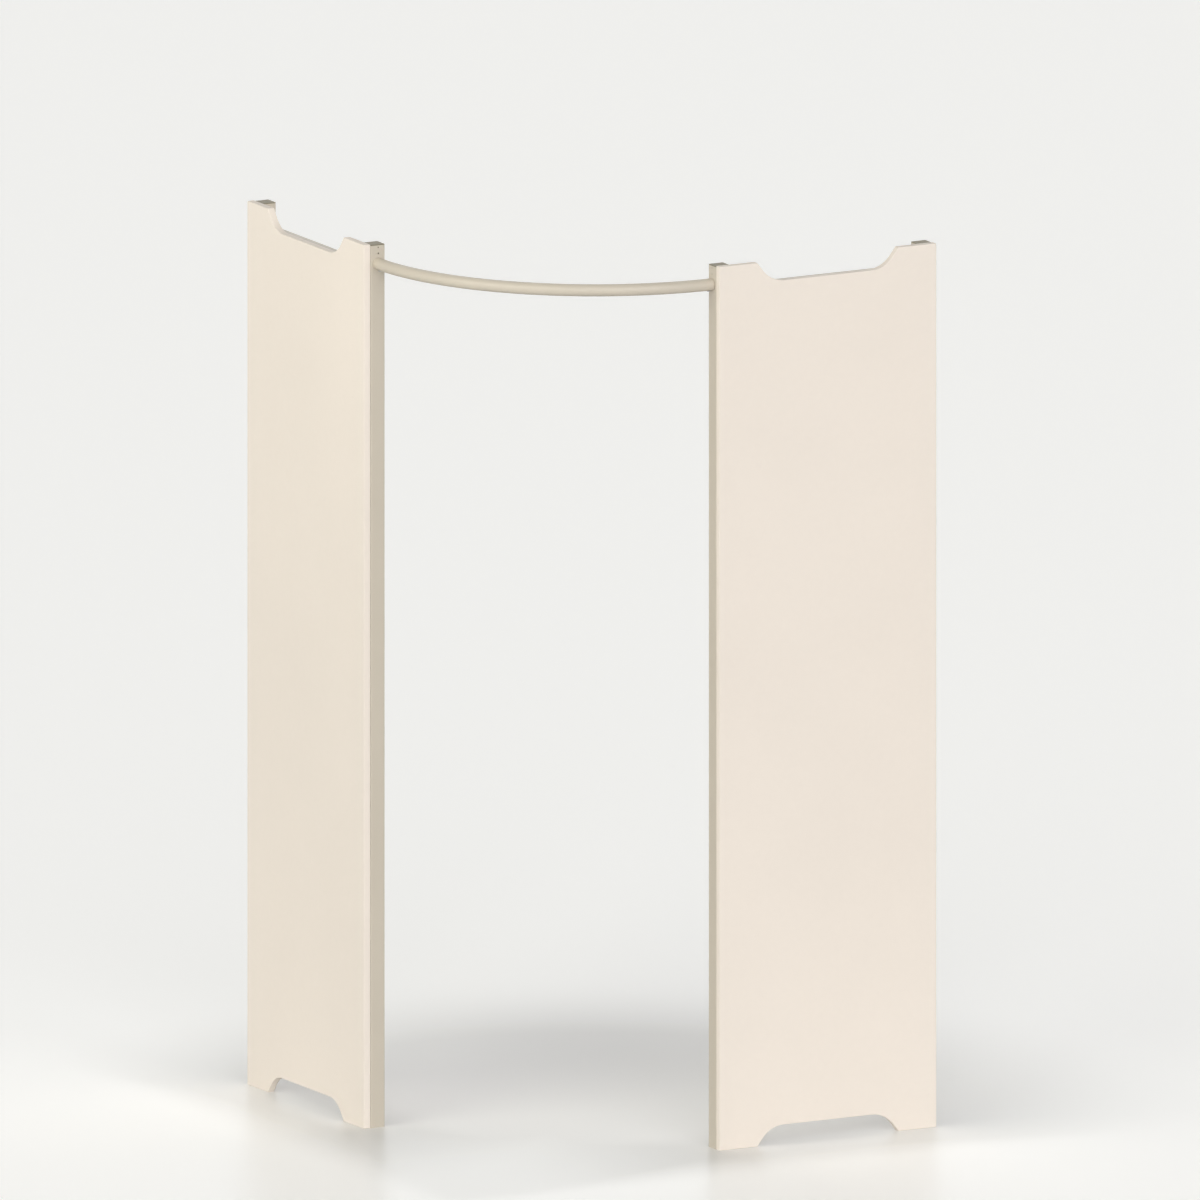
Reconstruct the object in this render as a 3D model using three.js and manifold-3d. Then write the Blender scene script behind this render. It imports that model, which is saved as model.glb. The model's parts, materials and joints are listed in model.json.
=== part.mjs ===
// A free-standing fitting room for a shop. Two painted boards stand at right angles. A frame of
// square tube carries each board, and a curtain rail bent to a quarter circle joins the two frames
// at the entrance.
// Lengths are millimetres and +Z is up. The origin is on the floor, in the middle of the square
// plan. The left board's outer face looks along -X and the right board's along -Y. The entrance is
// the corner between them.

import * as THREE from "three";
import { mergeVertices } from "three/addons/utils/BufferGeometryUtils.js";
import Module from "manifold-3d";

const wasm = await Module();
wasm.setup();

// Boards: an ear at each top corner and a foot at each bottom corner, with a scoop and an arch
// between them. Each end of a scoop or arch is a straight slope and then an arc into the flat.
const boardHeight = 2200;
const boardWidth = 600;
const boardThick = 18;
const boardChamfer = 1;
const earWidth = 105;
const scoopDepth = 50;
const archHeight = 48;
const slopeAngle = THREE.MathUtils.degToRad(52.5);
const slopeArcRadius = 75;

// Posts: square tube, with the cap's top a little below the ears
const postSize = 40;
const postWall = 2;
const postCorner = 3;
const capDrop = 2;

// Bars: flat tube laid against the board, between the posts
const barHeight = 40;
const barDepth = 20;
const barWall = 1.5;
const barCorner = 2;
const barSetback = 3; // from the flat of the scoop or arch to the bar's nearest face

// Post caps: a plate on the tube's end and a skirt inside it
const capPlate = 2;
const capChamfer = 0.6;
const capSkirtDepth = 10;
const capSkirtWall = 2.5;

// Levelling feet: a round pad and a threaded stem, in a socket that fills the tube's end
const socketHeight = 30;
const socketLift = 0.5; // keeps the socket off the floor
const padRadius = 16;
const padHeight = 6;
const padChamfer = 1;
const padRoom = 0.8; // round the pad in its recess
const stemRadius = 5;
const stemProud = 4; // stem above the socket when the foot is wound in
const stemChamfer = 1;

// Board screws: through each bar and into the board
const screwRadius = 2;
const screwHeadRadius = 4;
const screwHeadRim = 0.6;
const screwHeadHeight = 2.4;
const screwBite = 12; // length in the board
const screwPoint = 3;
const screwPlaceShares = [0.2, 0.8]; // along the bar

// Curtain rail: round tube, bent to a quarter circle that meets the front posts squarely
const railRadius = 600; // of the centre line
const railTubeRadius = 15;
const railWall = 1.5;
const railDrop = 50; // from the ears to the rail's centre line
const railShift = 1.7; // from the post's middle towards the room

// Rail fixings: a plug in each end of the rail, drawn to the post by a bolt and locked from below
const plugLength = 18;
const boltRadius = 4;
const boltHeadRadius = 6.5;
const boltHeadHeight = 4.5;
const boltHeadChamfer = 1;
const boltBite = 14; // length in the plug
const keyAcross = 5;
const keyDepth = 2.5;
const keyHoleRadius = 4.5; // in the post's far wall, to reach the bolt's head
const lockRadius = 2.5;
const lockHeadRadius = 4.5;
const lockHeadHeight = 2;
const lockChamfer = 0.5;
const lockBite = 5; // length in the plug
const lockHoleRoom = 0.5; // past the screw's tip

// Two small holes in each front post, above the rail
const smallHoleRadius = 2;
const smallHoleDrop = 7.5; // from the cap's top to the first hole
const smallHolePitch = 15;

// Fits and cuts
const seam = 0.3; // gap between two pieces that rest on or in each other
const overrun = 5; // how far a cutter passes the face that it opens
const weldDistance = 1e-4; // vertices closer than this are one

// Smoothness of round shapes
const arcSides = 10; // of each arc in a board's outline
const cornerSides = 4; // of each round corner of a tube
const roundSides = 20;
const smallSides = 12;
const domeSteps = 2;
const railSteps = 36;
const keySides = 6;
const quarterTurn = Math.PI / 2;

// Places worked out from the sizes
const postTop = boardHeight - capDrop;
const postDepth = boardThick + seam; // a post's face against the board
const postMiddle = postDepth + postSize / 2;
const barLength = boardWidth - 2 * (postSize + seam);
const barFace = postDepth + barDepth; // a bar's face towards the room
const railDepth = postMiddle + railShift;
const railHeight = boardHeight - railDrop;
const boardFront = railDepth + railRadius; // from the outer corner of the plan
const planSide = boardFront + boardWidth;
const planHalf = planSide / 2;
const railBore = railTubeRadius - railWall;
const plugBend = (seam + plugLength) ** 2 / (2 * railRadius); // the rail curves away by this
const plugRadius = railBore - seam - plugBend;

// Finishes
const creamPaint = { color: 0xece2d2, roughness: 0.5, metalness: 0 };
const taupePaint = { color: 0xc8bea8, roughness: 0.4, metalness: 0.1 };
const taupePlastic = { color: 0x8c8570, roughness: 0.5, metalness: 0 };
const blackPlastic = { color: 0x2a2a28, roughness: 0.6, metalness: 0 };
const zincSteel = { color: 0xb6b8ba, roughness: 0.3, metalness: 0.9 };

// A closed geometry as a solid that can be cut or joined.
function solidOf(geometry) {
  const bare = geometry.clone();
  bare.deleteAttribute("normal");
  bare.deleteAttribute("uv");
  const welded = mergeVertices(bare, weldDistance);
  const mesh = new wasm.Mesh({
    numProp: 3,
    vertProperties: welded.attributes.position.array,
    triVerts: Uint32Array.from(welded.index.array),
  });
  return new wasm.Manifold(mesh);
}

// A solid back as a geometry.
function geometryOf(solid) {
  const mesh = solid.getMesh();
  const geometry = new THREE.BufferGeometry();
  const places = Float32Array.from(mesh.vertProperties);
  geometry.setAttribute("position", new THREE.BufferAttribute(places, 3));
  geometry.setIndex(new THREE.BufferAttribute(Uint32Array.from(mesh.triVerts), 1));
  geometry.computeVertexNormals();
  return geometry;
}

function cut(geometry, cutters) {
  let solid = solidOf(geometry);
  for (const cutter of cutters) {
    solid = solid.subtract(solidOf(cutter));
  }
  return geometryOf(solid);
}

function join(first, second) {
  return geometryOf(solidOf(first).add(solidOf(second)));
}

// A round bar from start to end, each an [x, y, z].
function rod(radius, start, end, sides = smallSides) {
  const from = new THREE.Vector3(...start);
  const to = new THREE.Vector3(...end);
  const along = new THREE.Vector3().subVectors(to, from);
  const geometry = new THREE.CylinderGeometry(radius, radius, along.length(), sides);
  const up = new THREE.Vector3(0, 1, 0);
  geometry.applyQuaternion(new THREE.Quaternion().setFromUnitVectors(up, along.normalize()));
  const middle = from.add(to).divideScalar(2);
  return geometry.translate(middle.x, middle.y, middle.z);
}

// A turned piece about the Y axis. The outline is a list of [radius, height], from the lower end
// of the axis to the upper one.
function turned(outline, sides = smallSides) {
  const points = outline.map(([radius, height]) => new THREE.Vector2(radius, height));
  return new THREE.LatheGeometry(points, sides);
}

// A rectangle with round corners, centred, drawn into a shape or a hole.
function drawRectangle(path, width, height, corner) {
  const right = width / 2 - corner;
  const top = height / 2 - corner;
  path.absarc(right, top, corner, 0, quarterTurn, false);
  path.absarc(-right, top, corner, quarterTurn, 2 * quarterTurn, false);
  path.absarc(-right, -top, corner, 2 * quarterTurn, 3 * quarterTurn, false);
  path.absarc(right, -top, corner, 3 * quarterTurn, 4 * quarterTurn, false);
  path.closePath();
  return path;
}

// The section of a tube with round corners.
function tubeSection(width, height, wall, corner) {
  const section = drawRectangle(new THREE.Shape(), width, height, corner);
  const bore = new THREE.Path();
  drawRectangle(bore, width - 2 * wall, height - 2 * wall, corner - wall);
  section.holes.push(bore);
  return section;
}

// A section pushed up along Z from 0 to length. An arc has twice as many sides as curveSegments.
function pushed(section, length) {
  return new THREE.ExtrudeGeometry(section, {
    depth: length,
    bevelEnabled: false,
    curveSegments: cornerSides / 2,
  });
}

// The same with every edge of both ends chamfered.
function pushedWithChamfer(section, length, chamfer, sides = cornerSides) {
  const geometry = new THREE.ExtrudeGeometry(section, {
    depth: length - 2 * chamfer,
    bevelEnabled: true,
    bevelThickness: chamfer,
    bevelSize: chamfer,
    bevelOffset: -chamfer,
    bevelSegments: 1,
    curveSegments: sides / 2,
  });
  return geometry.translate(0, 0, chamfer);
}

function piece(name, geometry, finish) {
  const mesh = new THREE.Mesh(geometry, new THREE.MeshStandardMaterial(finish));
  mesh.name = name;
  return mesh;
}

// Each panel is built in its own frame. X runs back from the front edge, Y runs in from the
// board's outer face, and Z is up.

// How a scoop or arch of this depth leaves an ear or foot: along the board to the slope's end, up
// to it, and along to the start of the flat.
function slopePlaces(depth) {
  const rise = depth - slopeArcRadius * (1 - Math.cos(slopeAngle));
  const slopeEnd = earWidth + rise / Math.tan(slopeAngle);
  const flatStart = slopeEnd + slopeArcRadius * Math.sin(slopeAngle);
  return { rise, slopeEnd, flatStart };
}

function boardOutline() {
  const arch = slopePlaces(archHeight);
  const scoop = slopePlaces(scoopDepth);
  const archCentre = archHeight - slopeArcRadius;
  const scoopCentre = boardHeight - scoopDepth + slopeArcRadius;
  const outline = new THREE.Shape();
  outline.moveTo(0, 0);
  outline.lineTo(earWidth, 0);
  outline.lineTo(arch.slopeEnd, arch.rise);
  const upFrom = quarterTurn + slopeAngle;
  outline.absarc(arch.flatStart, archCentre, slopeArcRadius, upFrom, quarterTurn, true);
  const archFar = boardWidth - arch.flatStart;
  outline.absarc(archFar, archCentre, slopeArcRadius, quarterTurn, quarterTurn - slopeAngle, true);
  outline.lineTo(boardWidth - earWidth, 0);
  outline.lineTo(boardWidth, 0);
  outline.lineTo(boardWidth, boardHeight);
  outline.lineTo(boardWidth - earWidth, boardHeight);
  outline.lineTo(boardWidth - scoop.slopeEnd, boardHeight - scoop.rise);
  const scoopFar = boardWidth - scoop.flatStart;
  const downFrom = slopeAngle - quarterTurn;
  outline.absarc(scoopFar, scoopCentre, slopeArcRadius, downFrom, -quarterTurn, true);
  const downTo = -quarterTurn - slopeAngle;
  outline.absarc(scoop.flatStart, scoopCentre, slopeArcRadius, -quarterTurn, downTo, true);
  outline.lineTo(earWidth, boardHeight);
  outline.lineTo(0, boardHeight);
  outline.closePath();
  return outline;
}

// Where the bars lie: the height of each one's middle.
const barPlaces = {
  top: boardHeight - scoopDepth - barSetback - barHeight / 2,
  middle: boardHeight / 2,
  bottom: archHeight + barSetback + barHeight / 2,
};

// The screws of one bar, as distances from the board's front edge.
function screwPlaces() {
  return screwPlaceShares.map((share) => postSize + seam + share * barLength);
}

function board() {
  const slab = pushedWithChamfer(boardOutline(), boardThick, boardChamfer, arcSides);
  slab.rotateX(quarterTurn);
  slab.translate(0, boardThick, 0);
  const pilots = [];
  for (const height of Object.values(barPlaces)) {
    for (const along of screwPlaces()) {
      const bottom = [along, boardThick - screwBite - seam, height];
      pilots.push(rod(screwRadius + seam, bottom, [along, boardThick + overrun, height]));
    }
  }
  return cut(slab, pilots);
}

function post() {
  const tube = pushed(tubeSection(postSize, postSize, postWall, postCorner), postTubeHeight());
  return tube.translate(postSize / 2, postMiddle, 0);
}

function postTubeHeight() {
  return postTop - capPlate - seam;
}

// The front post takes the rail's bolt, the key that turns it and two small holes.
function frontPost() {
  const boltHole = rod(
    boltRadius + seam,
    [-overrun, railDepth, railHeight],
    [postWall + overrun, railDepth, railHeight],
  );
  const keyHole = rod(
    keyHoleRadius,
    [postSize - postWall - overrun, railDepth, railHeight],
    [postSize + overrun, railDepth, railHeight],
  );
  const smallHoles = [smallHoleDrop, smallHoleDrop + smallHolePitch].map((drop) =>
    rod(
      smallHoleRadius,
      [-overrun, railDepth, postTop - drop],
      [postWall + overrun, railDepth, postTop - drop],
    ),
  );
  return cut(post(), [boltHole, keyHole, ...smallHoles]);
}

function rearPost() {
  return post().translate(boardWidth - postSize, 0, 0);
}

function bar(height) {
  const tube = pushed(tubeSection(barHeight, barDepth, barWall, barCorner), barLength);
  tube.rotateY(quarterTurn);
  tube.translate(postSize + seam, postDepth + barDepth / 2, height);
  const holes = screwPlaces().map((along) =>
    rod(
      screwRadius + seam,
      [along, postDepth - overrun, height],
      [along, barFace + overrun, height],
    ),
  );
  return cut(tube, holes);
}

function cap() {
  const section = drawRectangle(new THREE.Shape(), postSize, postSize, postCorner);
  const plate = pushedWithChamfer(section, capPlate, capChamfer);
  const skirtSize = postSize - 2 * (postWall + seam);
  const skirtCorner = postCorner - postWall + seam;
  const skirtSection = drawRectangle(new THREE.Shape(), skirtSize, skirtSize, skirtCorner);
  const hollowSize = skirtSize - 2 * capSkirtWall;
  const hollow = drawRectangle(new THREE.Path(), hollowSize, hollowSize, skirtCorner);
  skirtSection.holes.push(hollow);
  const skirt = pushed(skirtSection, capSkirtDepth + capPlate / 2);
  skirt.translate(0, 0, -capSkirtDepth);
  return join(plate, skirt).translate(postSize / 2, postMiddle, postTop - capPlate);
}

function socket() {
  const size = postSize - 2 * (postWall + seam);
  const section = drawRectangle(new THREE.Shape(), size, size, postCorner - postWall + seam);
  const block = pushed(section, socketHeight - socketLift);
  block.translate(0, 0, socketLift);
  const recess = rod(padRadius + padRoom, [0, 0, -overrun], [0, 0, padHeight + seam], roundSides);
  const bore = rod(stemRadius + seam, [0, 0, -overrun], [0, 0, socketHeight + overrun]);
  return cut(block, [recess, bore]).translate(postSize / 2, postMiddle, 0);
}

function foot() {
  const stemTop = socketHeight + stemProud;
  const outline = [
    [0, 0],
    [padRadius - padChamfer, 0],
    [padRadius, padChamfer],
    [padRadius, padHeight - padChamfer],
    [padRadius - padChamfer, padHeight],
    [stemRadius, padHeight],
    [stemRadius, stemTop - stemChamfer],
    [stemRadius - stemChamfer, stemTop],
    [0, stemTop],
  ];
  const geometry = turned(outline, roundSides).rotateX(quarterTurn);
  return geometry.translate(postSize / 2, postMiddle, 0);
}

// A domed screw from its point in the board to its head on the bar.
function boardScrew(along, height) {
  const shank = barFace + seam - (boardThick - screwBite);
  const outline = [
    [0, 0],
    [screwRadius, screwPoint],
    [screwRadius, shank],
    [screwHeadRadius, shank],
  ];
  for (let step = 0; step < domeSteps; step += 1) {
    const angle = (quarterTurn * step) / domeSteps;
    const dome = (screwHeadHeight - screwHeadRim) * Math.sin(angle);
    outline.push([screwHeadRadius * Math.cos(angle), shank + screwHeadRim + dome]);
  }
  outline.push([0, shank + screwHeadHeight]);
  return turned(outline).translate(along, boardThick - screwBite, height);
}

// The plug in the rail's end, with a bore for the bolt and a hole for the lock screw from below.
function railPlug() {
  const nearEnd = -seam;
  const farEnd = -seam - plugLength;
  const body = rod(
    plugRadius,
    [nearEnd, railDepth, railHeight],
    [farEnd, railDepth, railHeight],
    roundSides,
  );
  const bore = rod(
    boltRadius + seam,
    [nearEnd + overrun, railDepth, railHeight],
    [farEnd - overrun, railDepth, railHeight],
  );
  const middle = (nearEnd + farEnd) / 2;
  const lockHole = rod(
    lockRadius + seam,
    [middle, railDepth, railHeight - railTubeRadius - overrun],
    [middle, railDepth, railHeight - plugRadius + lockBite + lockHoleRoom],
  );
  return cut(body, [bore, lockHole]);
}

// The bolt's head sits inside the post, against its front wall.
function railBolt() {
  const seat = postWall + seam;
  const length = seat + seam + boltBite;
  const outline = [
    [0, 0],
    [boltHeadRadius - boltHeadChamfer, 0],
    [boltHeadRadius, boltHeadChamfer],
    [boltHeadRadius, boltHeadHeight],
    [boltRadius, boltHeadHeight],
    [boltRadius, boltHeadHeight + length],
    [0, boltHeadHeight + length],
  ];
  const bolt = turned(outline, roundSides);
  const keyRadius = keyAcross / 2 / Math.cos(Math.PI / keySides);
  const keySocket = rod(keyRadius, [0, -overrun, 0], [0, keyDepth, 0], keySides);
  const drilled = cut(bolt, [keySocket]);
  drilled.rotateZ(quarterTurn);
  return drilled.translate(seat + boltHeadHeight, railDepth, railHeight);
}

function railLockScrew() {
  const headTop = railTubeRadius + seam; // below the rail's centre line
  const length = headTop - (plugRadius - lockBite);
  const outline = [
    [0, 0],
    [lockHeadRadius - lockChamfer, 0],
    [lockHeadRadius, lockChamfer],
    [lockHeadRadius, lockHeadHeight],
    [lockRadius, lockHeadHeight],
    [lockRadius, lockHeadHeight + length],
    [0, lockHeadHeight + length],
  ];
  const screw = turned(outline).rotateX(quarterTurn);
  const below = railHeight - headTop - lockHeadHeight;
  return screw.translate(-seam - plugLength / 2, railDepth, below);
}

function panel(side) {
  const group = new THREE.Group();
  const toRear = boardWidth - postSize;
  group.add(piece(`${side}_board`, board(), creamPaint));
  group.add(piece(`${side}_front_post`, frontPost(), taupePaint));
  group.add(piece(`${side}_rear_post`, rearPost(), taupePaint));
  for (const [place, height] of Object.entries(barPlaces)) {
    group.add(piece(`${side}_${place}_bar`, bar(height), taupePaint));
    screwPlaces().forEach((along, index) => {
      const name = `${side}_${place}_board_screw_${index + 1}`;
      group.add(piece(name, boardScrew(along, height), zincSteel));
    });
  }
  for (const [place, shift] of [["front", 0], ["rear", toRear]]) {
    group.add(piece(`${side}_${place}_cap`, cap().translate(shift, 0, 0), taupePlastic));
    group.add(piece(`${side}_${place}_socket`, socket().translate(shift, 0, 0), blackPlastic));
    group.add(piece(`${side}_${place}_foot`, foot().translate(shift, 0, 0), zincSteel));
  }
  group.add(piece(`${side}_rail_plug`, railPlug(), zincSteel));
  group.add(piece(`${side}_rail_bolt`, railBolt(), zincSteel));
  group.add(piece(`${side}_rail_lock_screw`, railLockScrew(), zincSteel));
  return group;
}

// The rail's centre line, from the left front post round to the right one. Its bend is centred on
// the point level with both boards' front edges, and each end stops a seam short of its post.
class RailLine extends THREE.Curve {
  getPoint(t, target = new THREE.Vector3()) {
    const trim = seam / railRadius;
    const angle = 2 * quarterTurn + trim + t * (quarterTurn - 2 * trim);
    const centre = boardFront - planHalf;
    const x = centre + railRadius * Math.cos(angle);
    const y = centre + railRadius * Math.sin(angle);
    return target.set(x, y, railHeight);
  }
}

function ring(outer, inner) {
  const section = new THREE.Shape();
  section.absarc(0, 0, outer, 0, 4 * quarterTurn, false);
  const bore = new THREE.Path();
  bore.absarc(0, 0, inner, 0, 4 * quarterTurn, false);
  section.holes.push(bore);
  return section;
}

function curtainRail() {
  const tube = new THREE.ExtrudeGeometry(ring(railTubeRadius, railBore), {
    steps: railSteps,
    curveSegments: roundSides / 2,
    bevelEnabled: false,
    extrudePath: new RailLine(),
  });
  const across = railDepth - planHalf;
  const along = boardFront - seam - plugLength / 2 - planHalf;
  const holes = [
    [across, along],
    [along, across],
  ].map(([x, y]) =>
    rod(
      lockRadius + seam,
      [x, y, railHeight - railTubeRadius - overrun],
      [x, y, railHeight - plugRadius + lockBite],
    ),
  );
  return cut(tube, holes);
}

// The left panel is the right one mirrored across the room's diagonal.
const rightPanel = panel("right");
rightPanel.position.set(boardFront - planHalf, -planHalf, 0);

const leftPanel = panel("left");
leftPanel.position.set(-planHalf, boardFront - planHalf, 0);
leftPanel.rotation.z = quarterTurn;
leftPanel.scale.y = -1;

const fittingRoom = new THREE.Group();
fittingRoom.add(leftPanel, rightPanel);
fittingRoom.add(piece("curtain_rail", curtainRail(), taupePaint));

export default fittingRoom;
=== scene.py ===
"""A shop fitting room in fine detail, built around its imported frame.

Two painted boards stand at right angles, each on a frame of square tube, and a curtain rail bent to
a quarter circle joins the two frames at the entrance. Lengths are metres and +Z is up. A panel is
worked out in its own frame: X runs back from the board's front edge, Y runs in from its outer face.
The right panel's X and Y are the room's own, and the left panel's are swapped.
"""

import json
import math
from collections import namedtuple
from functools import partial, reduce
from itertools import product

import bmesh
import bpy
import numpy as np
from bpy.props import FloatProperty, FloatVectorProperty, IntProperty, PointerProperty
from bpy.types import Operator, Panel, PropertyGroup
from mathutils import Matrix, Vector

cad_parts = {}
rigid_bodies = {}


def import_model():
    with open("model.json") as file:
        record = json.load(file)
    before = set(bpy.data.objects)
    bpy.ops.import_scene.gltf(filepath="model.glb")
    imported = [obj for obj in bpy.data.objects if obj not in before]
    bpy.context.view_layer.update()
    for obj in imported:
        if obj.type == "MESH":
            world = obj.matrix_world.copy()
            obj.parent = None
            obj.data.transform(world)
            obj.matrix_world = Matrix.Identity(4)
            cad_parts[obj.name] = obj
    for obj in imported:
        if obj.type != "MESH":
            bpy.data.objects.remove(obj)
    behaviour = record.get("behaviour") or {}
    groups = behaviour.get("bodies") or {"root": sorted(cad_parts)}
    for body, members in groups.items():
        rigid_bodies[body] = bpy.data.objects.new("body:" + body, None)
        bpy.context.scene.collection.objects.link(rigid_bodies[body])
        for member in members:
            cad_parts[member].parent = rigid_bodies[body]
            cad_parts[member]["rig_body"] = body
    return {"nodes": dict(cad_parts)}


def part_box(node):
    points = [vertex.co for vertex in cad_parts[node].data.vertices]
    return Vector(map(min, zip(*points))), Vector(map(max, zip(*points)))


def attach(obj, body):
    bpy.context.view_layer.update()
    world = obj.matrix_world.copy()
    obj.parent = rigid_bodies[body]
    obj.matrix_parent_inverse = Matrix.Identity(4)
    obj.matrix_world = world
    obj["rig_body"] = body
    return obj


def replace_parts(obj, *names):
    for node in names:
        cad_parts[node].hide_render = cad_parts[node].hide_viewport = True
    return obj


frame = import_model()

bl_info = {
    "name": "Fitting Room",
    "version": (1, 0, 0),
    "blender": (4, 5, 0),
    "location": "3D View > Sidebar > Fitting Room",
    "description": "Builds a fitting room's boards, frames, curtain rail, hardware and stage",
    "category": "Add Mesh",
}

# Names in the frame
SIDES = ("left", "right")
ENDS = ("front", "rear")
BARS = ("top", "middle", "bottom")
SCREWS = (1, 2)

# How finely the surfaces are divided
CORNER_STEPS = 6
EDGE_STEPS = 3
OUTLINE_STEPS = 14
SIDE_STEPS = 6
ROUND_SIDES = 48
PAD_SIDES = 96
BOARD_ROWS = 24
TUBE_ROWS = 12
FACE_COLUMNS = 2
BEAD_STEPS = 8
CROWN_RINGS = 12
STATIONS_PER_RIPPLE = 6
RAIL_STATIONS = 180
RINGS_PER_THREAD = 7
RINGS_PER_GROOVE = 8
STEPS_TO_CROSS_CORNER = 2

# A square tube's faces: the way that each one looks, the way along it, which is how the next one
# looks, and the two that have holes, as seen from the panel's front edge or from its board
FACING = np.array([(1.0, 0.0), (0.0, 1.0), (-1.0, 0.0), (0.0, -1.0)])
ALONG = np.roll(FACING, -1, 0)
FAR_FACE, NEAR_FACE = 0, 2

# A hole's patch of finer cells, as a share of its radius, and the flat rings in it: how much of the
# patch's edge is in each, and how many supports it lies outside the hole's rounding
SMALL_HOLES = 2
PATCH_SHARE = 2
SMALL_PATCH_SHARE = 2.2
PATCH_BLEND = (1, 0.6, 0.3, 0, 0)
PATCH_SUPPORTS = np.array([0, 0, 0, 1, 0])

# A weld's bead: its swell at a ripple and over a longer wander, the ripples' bow and its bulge
RIPPLE_SWELL = 0.035
WANDER_SWELL = 0.07
WANDER_SHARES = (0.13, 0.083)
RIPPLE_BOW = 0.4
BEAD_POWER = 1.4

# Where a pad's finger grips start, in roundings of its rim, and the shares that shape threads,
# screw heads and their recesses
GRIP_START = 2
THREAD_DEPTH_SHARE = 0.54
THREADED_SHARE = 0.5
POINT_POWER = 0.8
RIM_SHARE = 0.25
CROWN_POWER = 2.4
RECESS_DEPTH_SHARE = 0.7
RECESS_FLOOR_SHARE = 0.5
KEY_DEPTH_SHARE = 0.55
DRILLED_SHARE = 1.1
LIP_SHARE = 0.05

# The middle of a noise's range, and how much darker and rougher the boards' cut edges are
NOISE_SPAN = (0.3, 0.7)
RIM_DARKER = 0.02
RIM_ROUGHER = 0.08

# The rises of the floor's glow, each as the share that it reaches and where it starts and ends:
# outside and inside the boards' faces, out of the room's middle at the entrance, and all round it.
# Where they stay low, under the boards and inside the room, the floor has painted shade
GLOW_OUTSIDE = (1.0, (0.0, 0.30))
GLOW_INSIDE = (0.35, (0.0, 0.25))
GLOW_ENTRANCE = (0.7, (-0.12, 0.60))
GLOW_FAR = (1.0, (0.45, 1.50))

# The light from the horizon, which falls to nothing at a share of the way up, and the soft lamps
# far away: azimuth from -Y towards -X, elevation and spread in degrees, strength and tint
WHITE = (1.0, 1.0, 1.0)
HORIZON_LIGHT = 1.36
DARK_ABOVE_SHARE = 0.6
SUNS = {
    "left_key": (75, 27, 0.285, 50, (1.0, 0.99, 0.88)),
    "right_key": (12, 27, 0.40, 50, (1.0, 0.99, 0.99)),
    "back_fill": (225, 27, 0.17, 80, WHITE),
}
SUN_SHINE = 0.3

# What joins a mesh and what shades it, and how far from a rounding a flat has a line of points
MERGE_DISTANCE = 1e-6
SHARP_ANGLE = math.radians(40)
SUPPORT = 0.0006

# Turns, and the one from a screw's cross to the next, so that no two are alike
FULL_TURN = 2 * math.pi
QUARTER_TURN = math.pi / 2
GOLDEN_TURN = math.pi * (3 - math.sqrt(5))


def described(kind, **choices):
    """What makes a property of one kind from its name, description and default."""
    def make(name, description, default):
        return kind(name=name, description=description, default=default, **choices)
    return make


Length = described(FloatProperty, unit="LENGTH", precision=5)
Angle = described(FloatProperty, subtype="ANGLE")
Number = described(FloatProperty, min=0)
Power = described(FloatProperty, unit="POWER", min=0)
Count = described(IntProperty, min=1)
Spot = described(FloatVectorProperty, subtype="TRANSLATION", precision=4)
Colour = described(FloatVectorProperty, subtype="COLOR", min=0, max=1)


class BoardSizes(PropertyGroup):
    ear_width: Length("Ear width", "Width of each top ear and bottom foot of a board", 0.105)
    scoop_depth: Length("Scoop depth", "From the ears down to the flat of the scoop", 0.050)
    arch_height: Length("Arch height", "From the floor up to the flat of the arch", 0.048)
    slope: Angle("Slope", "How steep a scoop's or arch's sides are", math.radians(52.5))
    slope_radius: Length("Slope radius", "Radius between a slope and the flat", 0.075)
    corner_radius: Length("Corner radius", "Radius of the outline's sharp corners", 0.0022)
    edge_radius: Length("Edge radius", "Rounding of the board's long edges", 0.0014)


class TubeSizes(PropertyGroup):
    post_wall: Length("Post wall", "Wall of the square tube", 0.002)
    post_corner: Length("Post corner", "Outer radius of the square tube's corners", 0.003)
    bar_wall: Length("Bar wall", "Wall of the flat tube", 0.0015)
    bar_corner: Length("Bar corner", "Outer radius of the flat tube's corners", 0.002)
    rail_wall: Length("Rail wall", "Wall of the round tube", 0.0015)
    end_round: Length("End rounding", "Rounding of the cut ends and of the holes", 0.0003)
    small_hole: Length("Small hole", "Radius of the two holes above the rail", 0.002)
    small_hole_drop: Length("Small hole drop", "From a cap's top to the upper hole", 0.0075)
    small_hole_pitch: Length("Small hole pitch", "From the upper hole to the lower", 0.015)
    bolt_hole: Length("Bolt hole", "Radius of the hole behind the rail", 0.0043)
    key_hole: Length("Key hole", "Radius of the hole that a key reaches the bolt by", 0.0045)
    screw_hole: Length("Screw hole", "Radius of the holes in the bars", 0.0023)
    weld_leg: Length("Weld leg", "Width of a weld along the bar and the post", 0.0026)
    weld_ripple: Length("Weld ripple", "Distance between two ripples of a weld", 0.0017)
    weld_sink: Length("Weld sink", "How far a weld reaches into the tubes", 0.0004)
    weld_gap: Length("Weld gap", "From the bar's corner by the key hole to a weld", 0.008)


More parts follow.
